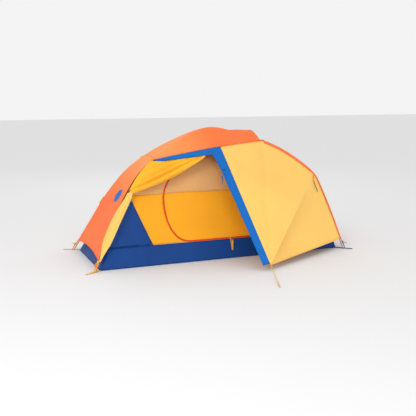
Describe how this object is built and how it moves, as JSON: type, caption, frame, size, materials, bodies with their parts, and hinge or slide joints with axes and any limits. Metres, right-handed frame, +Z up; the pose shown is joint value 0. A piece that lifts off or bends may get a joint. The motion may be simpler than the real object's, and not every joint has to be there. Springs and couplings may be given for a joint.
{
  "type": "backpacking tent",
  "caption": "Free-standing dome tent on crossing poles: clipped-on inner tent with a bathtub floor and D-shaped door, under a rain fly whose vestibule door is rolled back.",
  "frame": {"origin": "middle of the underside of the floor, on the ground", "axes": "+X from the foot end to the wider head end, -Y towards the door and vestibule, +Z up"},
  "size_m": [2.3657, 1.877, 1.0669],
  "materials": {
    "fly_orange": "coated ripstop polyester, light sheen",
    "fly_yellow": "coated polyester, light sheen",
    "fly_door_yellow": "coated polyester, light sheen",
    "flap_blue": "coated polyester, satin",
    "inner_amber": "breathable ripstop, matt",
    "inner_mesh": "fine see-through netting",
    "floor_navy": "coated polyester, satin",
    "pole_aluminium": "anodised, satin",
    "shock_cord": "braided elastic cord",
    "moulded_plastic": "moulded, satin",
    "buckle_light": "moulded, satin",
    "buckle_dark": "moulded, satin",
    "webbing_light": "woven webbing",
    "webbing_dark": "woven webbing",
    "zip_metal": "cast, satin",
    "pull_cord": "braided cord",
    "guyline": "braided cord",
    "line_lock": "moulded, satin",
    "toggle_red": "moulded, satin"
  },
  "bodies": {
    "tent": {"anchor_foot_back": "webbing_light", "anchor_foot_front": "webbing_light", "anchor_head_back": "webbing_dark", "anchor_head_front": "webbing_dark", "bathtub_floor": "floor_navy", "clip_foot_back_lower": "moulded_plastic", "clip_foot_back_upper": "moulded_plastic", "clip_foot_front_lower": "moulded_plastic", "clip_foot_front_upper": "moulded_plastic", "clip_head_back_lower": "moulded_plastic", "clip_head_back_upper": "moulded_plastic", "clip_head_front_lower": "moulded_plastic", "clip_head_front_upper": "moulded_plastic", "crossing_clip": "moulded_plastic", "fly_back_panel": "fly_yellow", "fly_crown": "fly_orange", "fly_foot_panel": "fly_orange", "fly_head_panel": "fly_orange", "fly_strap_foot_back": "webbing_light", "fly_strap_foot_front": "webbing_light", "fly_strap_head_back": "webbing_dark", "fly_strap_head_front": "webbing_dark", "fly_vestibule_panel": "fly_yellow", "guyline": "guyline", "inner_back_wall": "inner_amber", "inner_crown": "inner_mesh", "inner_foot_wall": "inner_amber", "inner_front_wall": "inner_amber", "inner_head_wall": "inner_amber", "over_pole_section_1": "pole_aluminium", "over_pole_section_2": "pole_aluminium", "over_pole_section_3": "pole_aluminium", "over_pole_section_4": "pole_aluminium", "over_pole_section_5": "pole_aluminium", "over_pole_shock_cord": "shock_cord", "pole_tip_foot_back": "moulded_plastic", "pole_tip_foot_front": "moulded_plastic", "pole_tip_head_back": "moulded_plastic", "pole_tip_head_front": "moulded_plastic", "rolled_door": "fly_door_yellow", "storm_flap": "flap_blue", "tieback_toggle": "toggle_red", "under_pole_section_1": "pole_aluminium", "under_pole_section_2": "pole_aluminium", "under_pole_section_3": "pole_aluminium", "under_pole_section_4": "pole_aluminium", "under_pole_section_5": "pole_aluminium", "under_pole_shock_cord": "shock_cord", "vent_hood": "fly_orange"},
    "inner_door": {"inner_door": "inner_amber"},
    "door_zip_slider": {"door_zip_slider": "zip_metal"},
    "door_zip_pull": {"door_zip_pull": "pull_cord"},
    "fly_zip_slider": {"fly_zip_slider": "zip_metal"},
    "fly_zip_pull": {"fly_zip_pull": "pull_cord"},
    "vent_strut": {"vent_strut": "moulded_plastic"},
    "line_lock": {"line_lock": "line_lock"},
    "ladder_lock_foot_back": {"ladder_lock_foot_back": "buckle_light"},
    "ladder_lock_foot_front": {"ladder_lock_foot_front": "buckle_light"},
    "ladder_lock_head_back": {"ladder_lock_head_back": "buckle_dark"},
    "ladder_lock_head_front": {"ladder_lock_head_front": "buckle_dark"}
  },
  "joints": [
    {"name": "inner_door_hinge", "type": "hinge", "parent": "tent", "child": "inner_door", "pos_m": [0.44988, -0.36236, 0.14749], "axis": [-0.0141, -0.3136, -0.9495], "range_deg": [0, 25]},
    {"name": "door_zip_slide", "type": "slide", "parent": "tent", "child": "door_zip_slider", "axis": [0.999, -0.0451, 0], "range_m": [-0.33, 0.36]},
    {"name": "door_pull_swing", "type": "hinge", "parent": "door_zip_slider", "child": "door_zip_pull", "pos_m": [0.05963, -0.35919, 0.16026], "axis": [-0.999, 0.0451, 0], "range_deg": [0, 80]},
    {"name": "fly_zip_slide", "type": "slide", "parent": "tent", "child": "fly_zip_slider", "axis": [0.1525, -0.5991, -0.786], "range_m": [-0.05, 0.75]},
    {"name": "fly_pull_swing", "type": "hinge", "parent": "fly_zip_slider", "child": "fly_zip_pull", "pos_m": [-0.0355, -0.40356, 0.67543], "axis": [0.9879, 0.0691, 0.139], "range_deg": [-35, 35]},
    {"name": "vent_strut_fold", "type": "hinge", "parent": "tent", "child": "vent_strut", "pos_m": [0.35541, 0, 0.99355], "axis": [0, 1, 0], "range_deg": [0, 80]},
    {"name": "line_lock_slide", "type": "slide", "parent": "tent", "child": "line_lock", "axis": [-0.3519, -0.9311, -0.0958], "range_m": [-0.015, 0.35]},
    {"name": "strap_foot_front_adjust", "type": "slide", "parent": "tent", "child": "ladder_lock_foot_front", "axis": [-0.4283, -0.3654, -0.8265], "range_m": [-0.012, 0.03]},
    {"name": "strap_foot_back_adjust", "type": "slide", "parent": "tent", "child": "ladder_lock_foot_back", "axis": [-0.4283, 0.3654, -0.8265], "range_m": [-0.012, 0.03]},
    {"name": "strap_head_front_adjust", "type": "slide", "parent": "tent", "child": "ladder_lock_head_front", "axis": [0.1818, -0.3918, -0.9019], "range_m": [-0.012, 0.03]},
    {"name": "strap_head_back_adjust", "type": "slide", "parent": "tent", "child": "ladder_lock_head_back", "axis": [0.1818, 0.3918, -0.9019], "range_m": [-0.012, 0.03]}
  ]
}
